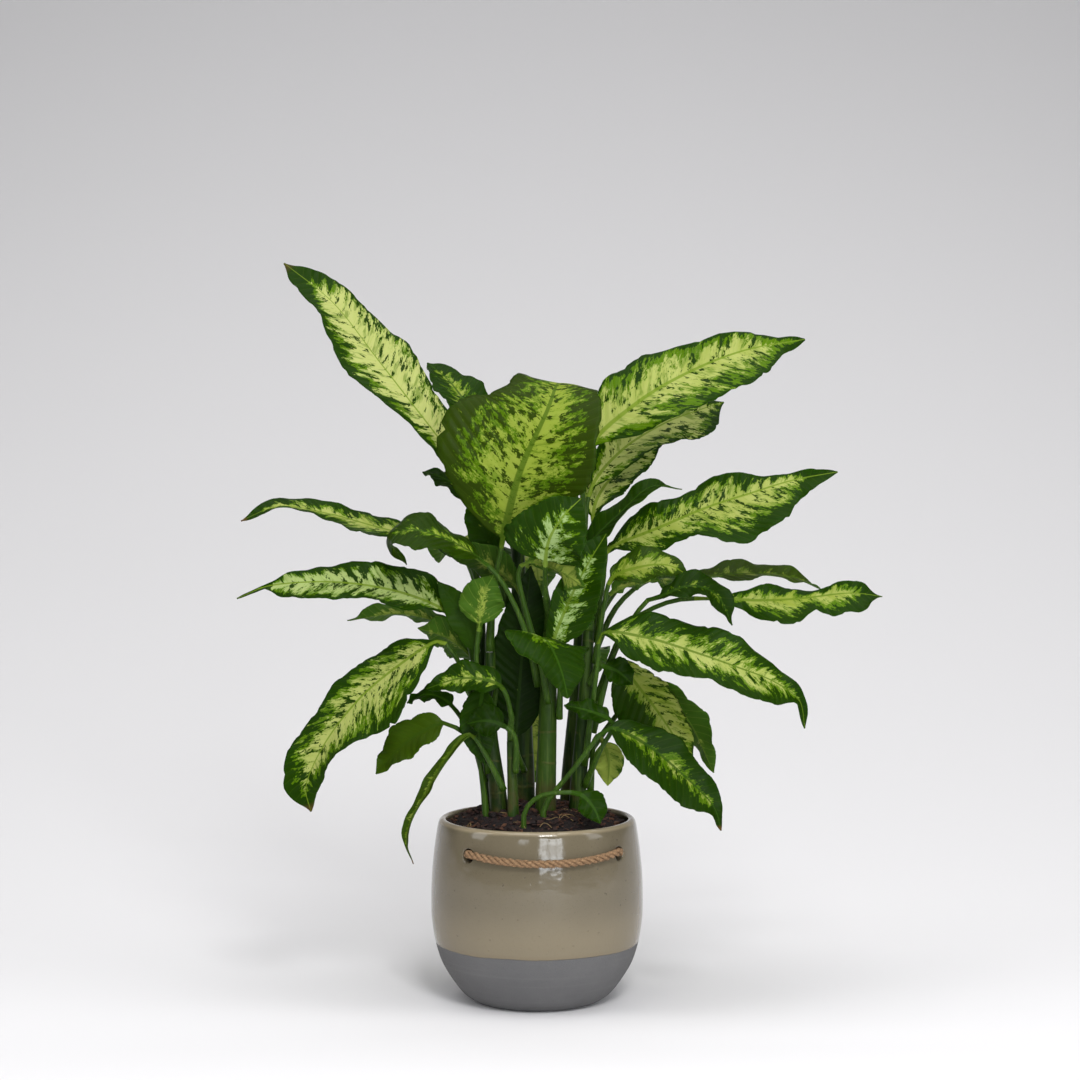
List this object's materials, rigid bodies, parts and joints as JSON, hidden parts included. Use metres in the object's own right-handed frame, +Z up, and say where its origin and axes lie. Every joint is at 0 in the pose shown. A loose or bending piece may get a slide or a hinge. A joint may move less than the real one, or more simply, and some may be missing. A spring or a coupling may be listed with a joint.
{
  "type": "potted dieffenbachia",
  "caption": "House plant with broad, waved, variegated leaves on upright canes, growing in soil in a round glazed pot with a rope handle.",
  "frame": {"origin": "centre of the pot's flat underside", "axes": "+Z up; -Y towards the front, where the rope handle is; +X to the right seen from the front"},
  "size_m": [0.6005, 0.3342, 0.6967],
  "materials": {
    "glaze": "glossy glaze over a matt grey foot",
    "soil": "crumbly bark and peat",
    "jute": "twisted jute",
    "cane": "smooth green stem",
    "leaf_variegated": "satin, pale middle with green edges",
    "leaf_green": "satin, dark green",
    "leaf_olive": "matt pale underside"
  },
  "bodies": {
    "root": {"cane_main": "cane", "cane_left": "cane", "cane_left_front": "cane", "cane_back": "cane", "cane_back_right": "cane", "cane_right": "cane", "cane_back_left": "cane", "leaf_top_left": "leaf_variegated", "leaf_top_behind": "leaf_variegated", "leaf_front_large": "leaf_variegated", "leaf_top_right": "leaf_variegated", "leaf_right_second": "leaf_variegated", "leaf_right_third": "leaf_variegated", "leaf_left_back_small": "leaf_variegated", "leaf_left_far": "leaf_variegated", "leaf_left_curled": "leaf_variegated", "leaf_left_mid": "leaf_variegated", "leaf_left_under": "leaf_variegated", "leaf_lower_left": "leaf_variegated", "leaf_left_olive": "leaf_olive", "leaf_left_striped": "leaf_variegated", "leaf_left_pale": "leaf_olive", "leaf_left_green": "leaf_green", "leaf_left_upright": "leaf_green", "leaf_left_dark_small": "leaf_green", "leaf_left_plain": "leaf_green", "leaf_left_hanging": "leaf_olive", "leaf_centre_up": "leaf_variegated", "leaf_centre_olive": "leaf_olive", "leaf_centre_dark": "leaf_variegated", "leaf_front_down": "leaf_variegated", "leaf_centre_small": "leaf_green", "leaf_centre_hanging": "leaf_green", "leaf_middle_left": "leaf_olive", "leaf_middle_dark": "leaf_green", "leaf_over_soil": "leaf_green", "leaf_right_narrow": "leaf_variegated", "leaf_right_long": "leaf_variegated", "leaf_right_curled": "leaf_variegated", "leaf_right_small": "leaf_green", "leaf_right_thin_back": "leaf_variegated", "leaf_right_bright": "leaf_variegated", "leaf_right_dark": "leaf_variegated", "leaf_right_lower": "leaf_variegated", "leaf_right_folded": "leaf_variegated", "leaf_right_behind": "leaf_variegated", "leaf_right_round": "leaf_green", "leaf_lower_right": "leaf_variegated", "leaf_right_spear": "leaf_green", "leaf_right_pale": "leaf_olive", "leaf_rear_high": "leaf_variegated", "leaf_rear_left": "leaf_variegated", "leaf_rear_right": "leaf_variegated", "leaf_rear_mid": "leaf_variegated", "leaf_rear_low_left": "leaf_variegated", "leaf_rear_low_right": "leaf_variegated", "leaf_rear_low": "leaf_variegated", "pot": "glaze", "rope": "jute", "soil": "soil"}
  },
  "joints": []
}
